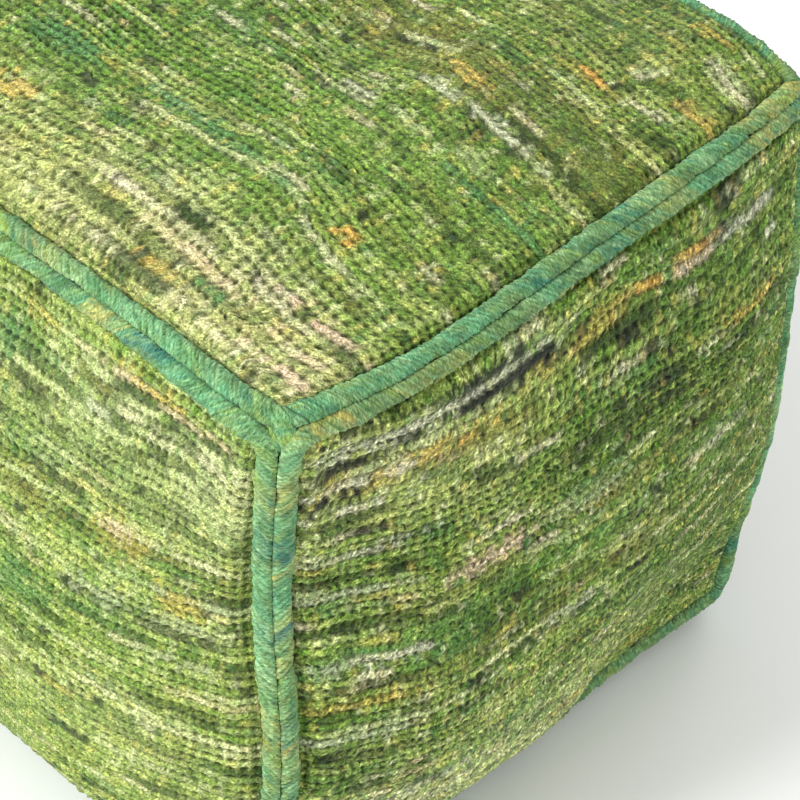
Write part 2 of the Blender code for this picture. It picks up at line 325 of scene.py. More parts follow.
# ---- Charted areas and stripes of the panels, by the place of their middle and their reach ----
AREAS = {
    "top": (
        # yarn      s       t       along  across  share
        ("straw",    0.50,  -0.80,   1.05,  0.22,  0.68),
        ("blush",    0.30,  -0.82,   1.20,  0.16,  0.20),
        ("leaf",    -0.50,  -0.70,   0.50,  0.30,  0.33),
        ("pale",     0.25,  -0.60,   0.35, 0.012,  0.30),
        ("pale",     0.45,  -0.66,   0.35, 0.012,  0.35),
        ("cream",    0.45,  -0.72,   0.40, 0.012,  0.42),
        ("blush",    0.60,  -0.77,   0.30, 0.012,  0.55),
        ("cream",    0.45,  -0.88,   0.40, 0.012,  0.42),
        ("forest",   0.10,  -0.69,   0.40, 0.012,  0.35),
        ("forest",   0.50,  -0.80,   0.35, 0.012,  0.35),
        ("grass",   -0.05,  -0.33,   0.60,  0.24,  0.55),
        ("leaf",     0.75,  -0.25,   0.42,  0.26,  0.35),
        ("olive",    0.60,   0.24,   0.75,  0.12,  0.70),
        ("moss",     0.68,   0.26,   0.30,  0.06,  0.45),
        ("olive",    0.70,   0.62,   0.70,  0.24,  0.25),
        ("grass",   -0.60,   0.50,   0.60,  0.40,  0.40),
        ("silver",   0.52,   0.12,   0.20, 0.014,  0.85),
        ("sea",      0.12, -0.425,   0.22, 0.018,  0.85),
        ("sea",     -0.42,  -0.44,   0.12, 0.040,  0.80),
        ("forest",   0.75,   0.16,   0.25, 0.015,  0.85),
        ("sea",      0.80,  -0.06,   0.20, 0.014,  0.80),
        ("forest",   0.80,  -0.20,   0.16, 0.014,  0.70),
        ("orange",   0.60,   0.47,   0.04, 0.016,  0.80),
        ("mustard",  0.58,   0.45,   0.10, 0.020,  0.35),
        ("mustard",  0.41,  0.205,   0.06, 0.018,  0.90),
        ("orange",   0.62,  -0.43,  0.035, 0.018,  0.85),
        ("mustard", -0.38,  -0.67,   0.08, 0.030,  0.80),
        ("silver",   0.26,  -0.03,   0.05, 0.018,  0.80),
        ("cream",    0.15,  -0.17,  0.035, 0.015,  0.80),
        ("blush",    0.80,  -0.67,   0.13, 0.012,  0.85),
        ("blush",    0.80,  -0.84,   0.12, 0.012,  0.80),
        ("forest",   0.32,  -0.69,   0.06, 0.028,  0.90),
        ("sea",      0.55,  -0.83,   0.06, 0.016,  0.85),
        ("forest",   0.30,  -0.90,   0.26, 0.013,  0.85),
        ("mustard",  0.42, -0.865,   0.09, 0.012,  0.75),
        ("forest",   0.10,  -0.80,   0.20, 0.012,  0.60),
        ("mustard",  0.68,   0.85,   0.08, 0.020,  0.60),
        ("mustard",  0.90,   0.59,   0.10, 0.016,  0.75),
        ("forest",   0.90,   0.44,   0.08, 0.014,  0.75),
        ("straw",    0.85,   0.37,   0.15, 0.014,  0.75),
        ("forest",   0.55,   0.56,   0.08, 0.020,  0.50),
    ),
    "front": (
        # yarn      s       t       along  across  share
        ("orange",   0.60,  0.875,   0.14, 0.014,  0.55),
        ("blush",    0.70,   0.85,   0.30, 0.012,  0.75),
        ("pale",     0.60,   0.79,   0.40, 0.012,  0.65),
        ("cream",    0.70,   0.75,   0.35, 0.012,  0.60),
        ("cream",    0.80,   0.40,   0.22, 0.012,  0.60),
        ("silver",   0.84,   0.25,   0.18, 0.012,  0.65),
        ("silver",   0.80,   0.02,   0.22, 0.012,  0.60),
        ("blush",    0.86,  -0.08,   0.14, 0.012,  0.42),
        ("cream",    0.84,  -0.22,   0.18, 0.012,  0.40),
        ("night",    0.80,  -0.31,   0.22, 0.012,  0.35),
        ("silver",   0.84,  -0.36,   0.18, 0.012,  0.45),
        ("cream",    0.78,  -0.42,   0.20, 0.012,  0.35),
        ("night",    0.30,   0.42,   0.12, 0.012,  0.70),
        ("night",    0.10,   0.12,   0.14, 0.012,  0.70),
        ("night",   -0.05,   0.50,   0.14, 0.012,  0.70),
        ("silver",   0.60,   0.62,   0.70,  0.20,  0.30),
        ("straw",    0.60,   0.62,   0.60,  0.18,  0.25),
        ("forest",   0.60,   0.77,   0.35, 0.012,  0.60),
        ("pale",     0.40,   0.66,   0.40, 0.012,  0.35),
        ("forest",   0.50,   0.64,   0.40, 0.012,  0.55),
        ("moss",     0.30,   0.52,   0.40, 0.012,  0.60),
        ("forest",   0.60,   0.55,   0.35, 0.012,  0.50),
        ("forest",   0.70,   0.48,   0.30, 0.012,  0.50),
        ("lemon",    0.15,  0.845,   0.07, 0.020,  0.80),
        ("forest",   0.66,  0.825,   0.27, 0.013,  0.85),
        ("sea",      0.05,   0.73,   0.06, 0.045,  0.80),
        ("forest",   0.56,  0.695,   0.22, 0.013,  0.80),
        ("forest",   0.20,   0.70,   0.14, 0.012,  0.60),
        ("night",    0.12,  0.625,   0.12, 0.012,  0.60),
        ("silver",   0.41,   0.69,   0.05, 0.020,  0.85),
        ("mustard",  0.58,   0.36,   0.12, 0.045,  0.50),
        ("blush",    0.55,   0.38,   0.05, 0.020,  0.80),
        ("mustard",  0.77,   0.22,   0.06, 0.035,  0.70),
        ("olive",    0.20,   0.30,   0.12, 0.030,  0.60),
        ("night",    0.72,   0.12,   0.17, 0.013,  0.70),
        ("night",    0.87,   0.29,   0.11, 0.013,  0.65),
        ("forest",   0.80,  -0.14,   0.17, 0.012,  0.60),
        ("silver",   0.50,   0.14,   0.12, 0.030,  0.55),
        ("silver",   0.80,   0.15,   0.12, 0.022,  0.55),
        ("sea",      0.25,   0.00,   0.12, 0.045,  0.60),
        ("forest",   0.35,  -0.04,   0.07, 0.016,  0.85),
        ("forest",   0.22,  -0.16,   0.16, 0.016,  0.65),
        ("forest",   0.78,  -0.48,   0.13, 0.016,  0.60),
        ("pale",     0.85,   0.66,   0.14, 0.120,  0.35),
        ("lime",     0.50,  -0.55,   1.00,  0.30,  0.42),
        ("moss",    -0.40,   0.20,   0.72,  1.10,  0.32),
    ),
    "right": (
        # yarn      s       t       along  across  share
        ("night",   -0.28,   0.80,   0.22, 0.022,  0.95),
        ("night",   -0.34,   0.87,   0.14, 0.014,  0.85),
        ("silver",  -0.55,   0.84,   0.40, 0.030,  0.75),
        ("pale",    -0.55,   0.76,   0.40, 0.014,  0.45),
        ("night",   -0.82,   0.79,   0.16, 0.016,  0.92),
        ("night",   -0.86,   0.66,   0.10, 0.018,  0.95),
        ("silver",  -0.78,   0.70,   0.18, 0.015,  0.75),
        ("silver",  -0.80,   0.62,   0.20, 0.014,  0.60),
        ("forest",  -0.80,   0.58,   0.16, 0.014,  0.70),
        ("mustard", -0.62,   0.72,   0.26, 0.022,  0.65),
        ("olive",   -0.35,   0.67,   0.22, 0.030,  0.55),
        ("mustard", -0.02,   0.76,   0.22, 0.024,  0.50),
        ("mustard",  0.12,   0.81,   0.12, 0.018,  0.45),
        ("mustard",  0.36,  0.805,   0.16, 0.016,  0.60),
        ("blush",    0.43,   0.77,   0.10, 0.013,  0.50),
        ("forest",   0.15,   0.72,   0.14, 0.016,  0.85),
        ("silver",   0.66,   0.77,   0.13, 0.014,  0.70),
        ("night",    0.62,   0.79,   0.13, 0.010,  0.55),
        ("silver",   0.77,   0.67,   0.04, 0.014,  0.75),
        ("forest",  -0.35,   0.53,   0.07, 0.022,  0.70),
        ("forest",   0.05,   0.42,   0.22, 0.030,  0.65),
        ("night",    0.32,  0.395,   0.09, 0.012,  0.75),
        ("forest",   0.62,   0.41,   0.16, 0.016,  0.70),
        ("blush",   -0.38,   0.25,   0.13, 0.026,  0.60),
        ("forest",  -0.75,   0.18,   0.24, 0.012,  0.70),
        ("silver",   0.00,   0.25,   0.12, 0.030,  0.35),
        ("sea",      0.22,   0.56,   0.05, 0.016,  0.45),
        ("mustard", -0.82,  -0.08,   0.16, 0.016,  0.50),
        ("olive",   -0.20,  -0.05,   0.55, 0.050,  0.40),
        ("mustard",  0.70,   0.49,   0.13, 0.018,  0.65),
        ("silver",  -0.08,  -0.13,   0.12, 0.016,  0.60),
        ("moss",     0.60,  -0.25,   0.40,  0.22,  0.40),
        ("moss",     0.60,   0.10,   0.45,  0.90,  0.50),
        ("straw",   -0.65,   0.62,   0.45,  0.25,  0.48),
        ("straw",   -0.45,  -0.70,   0.70,  0.30,  0.45),
        ("silver",  -0.45,  -0.70,   0.65,  0.30,  0.24),
        ("silver",  -0.70,  -0.50,   0.30, 0.014,  0.60),
        ("pale",    -0.50,  -0.62,   0.35, 0.014,  0.50),
        ("night",   -0.65,  -0.72,   0.25, 0.014,  0.50),
        ("orange",   0.36,   0.80,   0.13, 0.014,  0.60),
        ("grass",    0.10,   0.10,   0.60,  0.10,  0.45),
        ("grass",   -0.50,   0.38,   0.50,  0.10,  0.45),
        ("silver",   0.55,   0.12,   0.12, 0.018,  0.35),
        ("forest",   0.20,   0.06,   0.20, 0.013,  0.60),
        ("silver",  -0.80,   0.44,   0.20, 0.012,  0.60),
        ("forest",  -0.80,   0.36,   0.20, 0.012,  0.65),
        ("silver",  -0.84,   0.30,   0.16, 0.012,  0.55),
        ("silver",  -0.80,   0.05,   0.20, 0.012,  0.55),
        ("night",   -0.76,  -0.02,   0.22, 0.012,  0.60),
        ("silver",  -0.84,  -0.20,   0.16, 0.012,  0.55),
        ("forest",  -0.80,  -0.28,   0.20, 0.012,  0.65),
        ("night",    0.20,   0.48,   0.16, 0.012,  0.65),
        ("night",    0.45,   0.25,   0.14, 0.012,  0.60),
    ),
}


def woven_colours(name, yarn, tone, s, t, rng):
    """A colour for each ply of each loop, two plies to a loop.

    Tone is the panel's own plus smooth noise of three sizes and each ply's chance. Streaks start where
    another smooth noise passes a threshold. Broad areas lie under the streaks, and narrow ones over them.
    """
    shape = s.shape
    value = tone + sum(spread * drift(rng, shape, reach) for spread, *reach in TONE_NOISES)
    value += PLY_CHANCE * rng.normal(size=shape)
    colour = mix(tone_colour(value), linear(yarn), np.full(shape, PANEL_YARN_SHARE))
    areas = sorted(AREAS.get(name, ()), key=lambda area: -area[3] * area[4])
    broad = sum(area[3] * area[4] > BROAD_AREA for area in areas)
    colour = with_areas(colour, areas[:broad], s, t, rng)
    for other, start, full, across, along, share in STREAKS:
        ragged = drift(rng, shape, (across, along)) + STREAK_RAG * rng.normal(size=shape)
        colour = mix(colour, linear(other), share * ease(start, full, ragged))
    picks = rng.choice(len(FLECK_YARNS), size=shape)
    flecks = np.array([linear(other) for other in FLECK_YARNS])[picks]
    colour = mix(colour, flecks, FLECK_SHARE * rng.random(shape) ** 2)
    return with_areas(colour, areas[broad:], s, t, rng)


def with_areas(colour, areas, s, t, rng):
    """The colours with the areas laid over, each exp(-(s/along)^4 - (t/across)^2), broken up by chance."""
    for other, at_s, at_t, along, across, share in areas:
        inside = np.exp(-((s - at_s) / along) ** 4 - ((t - at_t) / max(across, NARROWEST)) ** 2)
        ragged = inside + AREA_RAG * rng.normal(size=s.shape) * (inside > 0.02)
        colour = mix(colour, linear(other), share * ease(*AREA_BLEND, ragged))
    return colour


# ---- Woven panels ----
class Weave:
    """A panel's rows and loops, and which row and loop each line of its grid is on."""

    def __init__(self, rows, at_rows, row_points, loops, loop_points):
        self.counts = (rows, loops)
        self.row_points, self.loop_points = row_points, loop_points
        self.at_rows, self.at_loops = at_rows, np.arange(loops * loop_points + 1) / loop_points
        self.row = np.minimum(self.at_rows.astype(int), rows - 1)
        self.loop = np.minimum(self.at_loops.astype(int), loops - 1)
        self.row_phase = self.at_rows - self.at_rows.astype(int)
        self.loop_phase = self.at_loops - self.at_loops.astype(int)
        self.from_end = np.clip(np.minimum(self.at_rows, rows - self.at_rows) / CALM_EDGE, 0, 1)[:, None]
        self.from_side = np.clip(np.minimum(self.at_loops, loops - self.at_loops) / CALM_EDGE, 0, 1)
        self.shape = (len(self.at_rows), len(self.at_loops))

    def noise(self, rng, rows, loops):
        """Smooth noise over the grid whose chance values are so many rows and loops apart."""
        return drift(rng, self.shape, (rows * self.row_points, loops * self.loop_points))

    def by_row(self, values):
        """Each row's own values on its lines of the grid, and the mean of two where rows meet."""
        shared = np.reshape(0.5 * (self.row_phase == 0), (-1,) + (1,) * (values.ndim - 1))
        return values[self.row] * (1 - shared) + values[np.maximum(self.row - 1, 0)] * shared


def row_steps(low, middle, high, length, points):
    """How many rows there are, each grid line's place in rows, and its share of the length.

    The pitch eases from `low` to `middle` to `high`, in millimetres, and is scaled to whole rows.
    """
    share = np.linspace(0, 1, PITCH_POINTS)
    pitch = middle + (low - middle) * ease(*LOW_ROWS, share) + (high - middle) * ease(*HIGH_ROWS, share)
    count = np.concatenate([[0], np.cumsum(1 / pitch[1:])]) * length / MILLIMETRE / len(share)
    rows = int(round(count[-1]))
    at_rows = np.arange(rows * points + 1) / points
    return rows, at_rows, np.interp(at_rows, count * rows / count[-1], share)


def even_places(axis, side, moving):
    """A middle line's length over the swollen face, and places along it with their shares of that."""
    place = np.linspace(-WOVEN_EDGE, WOVEN_EDGE, LINE_POINTS)
    places = np.zeros((LINE_POINTS, 3))
    places[:, axis] = side
    places[:, moving] = place
    run = np.concatenate([[0], np.cumsum(np.linalg.norm(np.diff(puffed(places), axis=0), axis=1))])
    return run[-1], run / run[-1], place


def weave_places(weave, share_t, rng):
    """Each point's shares of the panel's width and length: rows shift and waver, and loops stray."""
    rows, loops = weave.counts
    shift = ROW_SHIFT * (np.arange(rows) % 2) + ROW_CHANCE * rng.normal(size=rows)
    stray = STRAY * weave.noise(rng, 11, 9) + QUIVER * weave.noise(rng, 2, 2)
    share_s = (weave.at_loops + (weave.by_row(shift)[:, None] + stray) * weave.from_side) / loops
    pitch = np.gradient(share_t)[:, None] * weave.row_points
    waver = WAVER * weave.noise(rng, 9, 11) + QUIVER * weave.noise(rng, 2, 1.5)
    return share_s, share_t[:, None] + waver * pitch * weave.from_end


def weave_height(weave, rng):
    """Height of the weave above the face, and how far up its loop each point is, from 0 to 1.

    Height = RELIEF x loop's own size x (2 profile - 1), and the profile is 1 - VALLEY valley
    - HOLE hole x valley x joint - JOINT joint. Valley is half a cosine across the row, joint is the same
    along the loop, and hole is a chance depth for each hole, so that rows touch at the loops' middles
    and leave a hole at their ends. The filling's lumps are added.
    """
    valley = (0.5 + 0.5 * np.cos(2 * np.pi * weave.row_phase))[:, None]
    joint = 0.5 + 0.5 * np.cos(2 * np.pi * weave.loop_phase)
    size = LOOP_SIZE + LOOP_SIZE_DRIFT * drift(rng, weave.counts, (6, 8))
    size = np.clip(size + LOOP_SIZE_CHANCE * rng.normal(size=weave.counts), *LOOP_SIZES)
    meetings = (weave.counts[0] + 1, weave.counts[1] + 1)
    hole = HOLE_DEPTH + HOLE_CHANCE * rng.normal(size=meetings) + HOLE_DRIFT * drift(rng, meetings, (5, 9))
    hole = np.clip(hole, 0, HOLE_DEEPEST)[np.rint(weave.at_rows).astype(int)]
    hole = hole[:, np.rint(weave.at_loops).astype(int)]
    profile = 1 - VALLEY * valley - HOLE * hole * valley * joint - JOINT * joint
    height = RELIEF * (2 * profile - 1) * size[weave.row][:, weave.loop]
    height = height + ROUGHNESS * rng.normal(size=weave.shape)
    lumps = LUMPS * weave.noise(rng, 11, 10) * weave.from_end * weave.from_side
    return height + lumps, np.clip(profile, 0, 1)


def edge_swell(s, t, across):
    """How far the filling lifts the weave: SWELL x exp(-((|place| - SWELL_PLACE) / SWELL_REACH)^2)."""
    beside = [np.exp(-((np.abs(place) - SWELL_PLACE) / SWELL_REACH) ** 2) for place in (s, t)]
    swell = SWELL * np.maximum(*beside) * ease(SWELL_END, SWELL_FULL, np.maximum(np.abs(s), np.abs(t)))
    if across == 2:
        swell = swell * ease(FOOT_SWELL_FROM, FOOT_SWELL_TO, t)
    return swell


def ply_middles(weave, s, t):
    """The places of the plies' middles, read off the grid, two to a loop."""
    rows, loops = weave.counts
    at_row = 1 + np.arange(rows) * weave.row_points + weave.row_points // 2
    at_ply = 1 + np.rint((np.arange(loops * 2) + 0.5) * weave.loop_points / 2).astype(int)
    return s[at_row][:, at_ply], t[at_row][:, at_ply]


def panel_colours(entry, weave, s, t, rng):
    """A colour for each point: its ply's, turning into the next ply's, and blended where rows meet.

    The plies' colours are spread about the panel's tone by a power, tone x (colour / tone)^contrast.
    """
    name, yarn, tone, contrast = entry[0], *entry[-3:]
    plies = woven_colours(name, yarn, tone, *ply_middles(weave, s, t), rng)
    plies = tone_colour(tone) * (plies / tone_colour(tone)) ** contrast
    at_ply = np.clip(weave.at_loops * 2 - 0.5, 0, weave.counts[1] * 2 - 1.001)
    ply = at_ply.astype(int)
    share = ease(*PLY_BLEND, at_ply - ply)[:, None]
    colour = weave.by_row(plies[:, ply] * (1 - share) + plies[:, ply + 1] * share)
    grain = GRAIN * contrast ** GRAIN_POWER * rng.normal(size=weave.shape)
    return np.clip(DYE * colour * (1 + grain[..., None]), DARKEST, 1)


def make_panel(number, entry, material):
    """One woven panel: `weave_height` laid on `skin` along its normal, closed behind near the middle.

    A border on the seams is added round the woven grid, which ends under the rolls.
    """
    name, axis, side, along, across, low, middle, high, row_points, loop_points = entry[:-3]
    rng = np.random.default_rng(PANEL_SEED + number)
    width, run_s, place_s = even_places(axis, side, along)
    length, run_t, place_t = even_places(axis, side, across)
    rows, at_rows, share_t = row_steps(low, middle, high, length, row_points)
    weave = Weave(rows, at_rows, row_points, int(round(width / LOOP_PITCH)), loop_points)
    shares = weave_places(weave, share_t, rng)
    s = np.pad(np.interp(shares[0], run_s, place_s), 1, mode="edge")
    t = np.pad(np.interp(np.clip(shares[1], 0, 1), run_t, place_t), 1, mode="edge")
    s[:, 0], s[:, -1], t[0], t[-1] = -1, 1, -1, 1

    base = skin(axis, side, along, across, s, t)
    outward = np.zeros(3)
    outward[axis] = side
    normal = unit(np.cross(np.gradient(base, axis=1), np.gradient(base, axis=0)))
    normal *= np.sign(np.dot(normal[len(normal) // 2, len(normal[0]) // 2], outward))
    height, rise = weave_height(weave, rng)
    swell = edge_swell(s, t, across)
    height = np.pad(height, 1) + swell
    if name == "bottom":
        height = np.minimum(height - swell - RELIEF, 0)
    points = base + normal * height[..., None]
    points[..., 2] = np.maximum(points[..., 2], 0)
    colour = np.pad(panel_colours(entry, weave, s, t, rng), ((1, 1), (1, 1), (0, 0)), mode="edge")

    index = np.arange(s.size).reshape(s.shape)
    quads = np.stack([index[:-1, :-1], index[:-1, 1:], index[1:, 1:], index[1:, :-1]], axis=-1).reshape(-1, 4)
    rim = np.concatenate([index[0, :-1], index[:-1, -1], index[-1, :0:-1], index[:0:-1, 0]])
    fan = np.stack([np.roll(rim, -1), rim, np.full(len(rim), s.size)], axis=-1)
    points = np.concatenate([points.reshape(-1, 3), [MIDDLE + outward * HEART * CORNER_HALF]])
    if faces_away(points[quads[len(quads) // 2]], outward):
        quads, fan = quads[:, ::-1], fan[:, ::-1]
    smooth = np.concatenate([np.ones(len(quads), bool), np.zeros(len(fan), bool)])
    piece = make_mesh(f"panel_{name}", points, quads.tolist() + fan.tolist(), smooth, material)
    spread = np.stack([np.pad(share, 1, mode="edge") for share in shares], axis=-1) * (width, length)
    dress(piece,
          np.concatenate([colour.reshape(-1, 3), [HEART_COLOUR]]),
          np.append(np.pad(rise, 1).ravel(), 0.0),
          np.concatenate([spread.reshape(-1, 2), [[0.0, 0.0]]]))
    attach(piece, "root")
    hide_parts("cover")


# ---- Meshes ----
def faces_away(corners, outward):
    """Whether a face whose corners are given in order faces away from `outward`."""
    return np.dot(np.cross(corners[1] - corners[0], corners[2] - corners[1]), outward) < 0


def make_mesh(name, points, faces, smooth, material):
    mesh = bpy.data.meshes.new(name)
    mesh.from_pydata(points, [], faces)
    mesh.polygons.foreach_set("use_smooth", smooth)
    mesh.update()
    piece = bpy.data.objects.new(name, mesh)
    bpy.context.scene.collection.objects.link(piece)
    piece.data.materials.append(material)
    return piece


def add_point_values(mesh, name, kind, key, values):
    attribute = mesh.attributes.new(name, kind, "POINT")
    attribute.data.foreach_set(key, np.ascontiguousarray(values, dtype=np.float32).ravel())


def dress(piece, colour, rise, spread):
    """The piece's yarn colour, height on its loop or wrap, and UV map, each with one value per point."""
    mesh = piece.data
    opaque = np.pad(colour, ((0, 0), (0, 1)), constant_values=1)
    add_point_values(mesh, "yarn", "FLOAT_COLOR", "color", opaque)
    add_point_values(mesh, "rise", "FLOAT", "value", rise)
    corners = np.empty(len(mesh.loops), dtype=np.int32)
    mesh.loops.foreach_get("vertex_index", corners)
    layer = mesh.uv_layers.new(name="weave")
    layer.data.foreach_set("uv", np.ascontiguousarray(spread[corners], dtype=np.float32).ravel())


# ---- Overcast edging ----
RING_SEED = 200             # a ring's chance starts from this plus its number
ROLL_RADIUS = 5.5 * MILLIMETRE
ROLL_FULLER = 1.0 * MILLIMETRE      # added at the front top corner
FULLER_PLACE = (1.0, -1.0, 1.0)
FULLER_REACH = 0.3
ROLL_SLACK = 0.4 * MILLIMETRE       # taken away towards the floor, between these heights
SLACK_HEIGHTS = (0.5, -0.8)
ROLL_SQUARENESS = 2.25              # power of the roll's rounded square section, 2 for a circle
SEAM_FILL = 0.31                    # how much further a roll reaches where it meets the next one
SEAM_FILL_ANGLE = 0.87              # radians from the roll's outermost line to there
SEAM_FILL_POWER = 6                 # how narrow that is
ROLL_SIDES = 14                     # points round a roll
RUN_POINTS = 40                     # points along one run, and round a corner
TURN_POINTS = 9
TURN_HANDLE = 0.39                  # length of a corner curve's handles, as a share of its span
PATH_POINTS = 1200                  # points along a ring's middle line
PATH_SMOOTHINGS = 8
ROLL_DRIFT = 0.035                  # slow change of a roll's thickness, as a share
ROLL_PATCHES = 0.3 * MILLIMETRE     # soft unevenness over a few wraps
ROLL_ROUGHNESS = 0.2 * MILLIMETRE
WRAP_PITCH = 3.7 * MILLIMETRE
WRAP_POINTS = {"top": 3, "front": 3, "right": 3, "left": 2, "back": 2, "bottom": 3}
WRAP_WIDTH_CHANCE = 0.25            # spread of the wraps' widths, and the narrowest and widest
WRAP_WIDTHS = (0.5, 1.6)
WRAP_RISE = 0.75 * MILLIMETRE
WRAP_MEAN = 0.6                     # share of the rise that is taken off again, to keep the radius
WRAP_ROUNDNESS = 0.7                # power of the rise's half sine, 1 for the plain curve
WRAP_UNEVEN = 0.28 * MILLIMETRE     # spread of the wraps' thickness
WRAP_SLANT = 1.5 * WRAP_PITCH       # along the roll, from its middle to its side
CORNER_BALL = 12.8 * MILLIMETRE     # half the width of the stitches that close a corner
BALL_HEIGHT = 1.8 * MILLIMETRE      # of their middle above the rolls' seat
BALL_ROUGHNESS = 0.12 * MILLIMETRE
BALL_RIDGE = 1.6                    # height of a stitch, as a multiple of WRAP_RISE
BALL_GROOVE = 0.25                  # where a groove is, as a share of the ridges' height
BALL_LEAN = (0.55, 0.8)             # of the ball's axis, upwards and sideways
BALL_ROUNDS = 17
BALL_SIDES = 20

ROLL_PUSHES = (
    # name              u     v     w    reach  x     y     z (mm)
    ("left top seam",   0.0, -1.0,  1.0, 0.75,  0.0, -2.1, -2.1),
    ("front seam",      1.0, -1.0,  0.3, 0.45,  1.5,  1.5,  0.0),
    ("right top seam",  1.0,  0.4,  1.0, 0.60, -1.2,  0.0,  1.2),
)
CORNERS = (
    # u   v   yarn of the stitches over it
    (1, -1, "aqua"),
    (1, 1, "aqua"),
    (-1, 1, "reed"),
    (-1, -1, "teal"),
)
EDGING_YARNS = (
    # yarn      share of the edging's length
    ("aqua",    0.30),
    ("mint",    0.14),
    ("reed",    0.17),
    ("sprout",  0.15),
    ("sea",     0.10),
    ("teal",    0.08),
    ("lemon",   0.06),
)
WRAPS_PER_YARN = 4                  # mean wraps from one yarn to the next
YARN_SMOOTHINGS = 2
WRAP_GRAIN = 0.07                   # chance lightness from wrap to wrap, and from point to point
EDGING_GRAIN = 0.14
EDGING_DYE = (0.90, 0.88, 0.82)     # what every yarn colour of the edging is multiplied by
MOTTLE_RAG = 0.3                    # chance that makes a mottle's edge ragged
STRETCH_RAG = 0.2                   # and a stretch's
STRETCH_BLEND = (0.1, 0.9)
MOTTLES = (
    # yarn    start  full  wraps  points round  share
    ("reed",   0.3,  1.6,  2.5,   3.0,          0.65),
    ("aqua",   0.2,  1.4,  3.0,   3.0,          0.50),
    ("sprout", 0.8,  2.0,  2.0,   2.0,          0.60),
    ("mint",   0.3,  1.6,  0.8,   1.3,          0.55),
    ("sea",    0.4,  1.6,  0.7,   1.2,          0.60),
    ("teal",   1.0,  2.0,  1.2,   1.6,          0.50),
)
STRETCHES = (
    # ring     u      v      w      reach  yarn       share
    ("front",  1.00, -1.00,  0.93,  0.06,  "sprout",  0.8),
    ("right",  1.00, -1.00,  0.93,  0.06,  "aqua",    0.7),
    ("front",  1.00, -1.00,  0.96,  0.025, "teal",    0.7),
    ("both",   1.00, -1.00,  0.76,  0.07,  "lemon",   0.6),
    ("both",   1.00, -1.00,  0.56,  0.055, "teal",    0.85),
    ("right",  1.00, -1.00,  0.50,  0.03,  "ocean",   0.8),
    ("both",   1.00, -1.00,  0.38,  0.10,  "aqua",    0.8),
    ("right",  1.00, -1.00,  0.44,  0.02,  "lemon",   0.8),
    ("right",  1.00, -1.00,  0.26,  0.03,  "lemon",   0.8),
    ("right",  1.00, -1.00,  0.21,  0.02,  "ocean",   0.8),
    ("front",  1.00, -1.00,  0.12,  0.07,  "mint",    0.8),
    ("right",  1.00, -1.00,  0.12,  0.06,  "straw",   0.7),
    ("front",  1.00, -1.00, -0.12,  0.06,  "lemon",   0.6),
    ("right",  1.00, -1.00, -0.12,  0.06,  "teal",    0.7),
    ("both",   1.00, -1.00, -0.26,  0.06,  "aqua",    0.6),
    ("both",   1.00, -1.00, -0.38,  0.05,  "reed",    0.7),
    ("both",   1.00, -1.00, -0.42,  0.03,  "teal",    0.6),
    ("both",   1.00, -1.00, -0.55,  0.06,  "straw",   0.5),
    ("top",    0.60, -1.00,  1.00,  0.30,  "aqua",    0.6),
    ("front",  0.55, -1.00,  1.00,  0.08,  "ocean",   0.7),
    ("front",  0.38, -1.00,  1.00,  0.07,  "lemon",   0.7),
    ("front",  0.18, -1.00,  1.00,  0.07,  "teal",    0.7),
    ("front",  0.00, -1.00,  1.00,  0.06,  "grass",   0.7),
    ("top",    0.05, -1.00,  1.00,  0.07,  "teal",    0.6),
    ("front", -0.14, -1.00,  1.00,  0.06,  "mustard", 0.7),
    ("both",   0.90, -1.00,  1.00,  0.07,  "reed",    0.6),
    ("top",    1.00, -0.75,  1.00,  0.25,  "aqua",    0.75),
    ("right",  1.00, -0.85,  1.00,  0.06,  "mustard", 0.8),
    ("right",  1.00, -0.45,  1.00,  0.25,  "reed",    0.7),
    ("top",    1.00, -0.02,  1.00,  0.06,  "sprout",  0.6),
    ("both",   1.00,  0.15,  1.00,  0.14,  "teal",    0.7),
    ("both",   1.00,  0.36,  1.00,  0.07,  "straw",   0.65),
    ("both",   1.00,  0.55,  1.00,  0.08,  "aqua",    0.8),
    ("both",   1.00,  0.78,  1.00,  0.10,  "lemon",   0.6),
    ("top",    1.00,  0.95,  1.00,  0.06,  "lemon",   0.7),
    ("right",  1.00,  0.95,  1.00,  0.06,  "ocean",   0.7),
)


def roll_run(axis, side, turn):
    """One run of a panel's roll along a seam: its middle line, its radius and its places on the cube.

    The middle is a radius above the rolls' flat seat and a radius to its own panel's side of the seam.
    """
    across, along = (axis + 1) % 3, (axis + 2) % 3
    if turn % 2:
        across, along = along, across
    sign = 1 if turn in (0, 1) else -1
    heading = 1 if turn in (0, 3) else -1
    seam = np.zeros((RUN_POINTS, 3))
    seam[:, axis] = side
    seam[:, across] = sign
    seam[:, along] = np.linspace(-SEAT_ROW, SEAT_ROW, RUN_POINTS) * heading
    own_row = seam.copy()
    own_row[:, across] *= SEAT_ROW
    seat = seated(seam)
    inward = unit(puffed(own_row) - seat)
    seat += pushed(seam, ROLL_PUSHES)
    forward = unit(np.gradient(seat, axis=0))
    outward = unit(np.cross(forward, inward))
    outward *= np.sign(np.sum(outward * (seat - MIDDLE), axis=1, keepdims=True))
    radius = ROLL_RADIUS + ROLL_FULLER * nearness(seam, FULLER_PLACE, FULLER_REACH)
    radius -= ROLL_SLACK * ease(*SLACK_HEIGHTS, seam[:, 2])
    middle = seat + inward * (radius + GAP / 2)[:, None] + outward * (radius + GAP)[:, None]
    return np.concatenate([middle, radius[:, None], seam, -inward], axis=1)


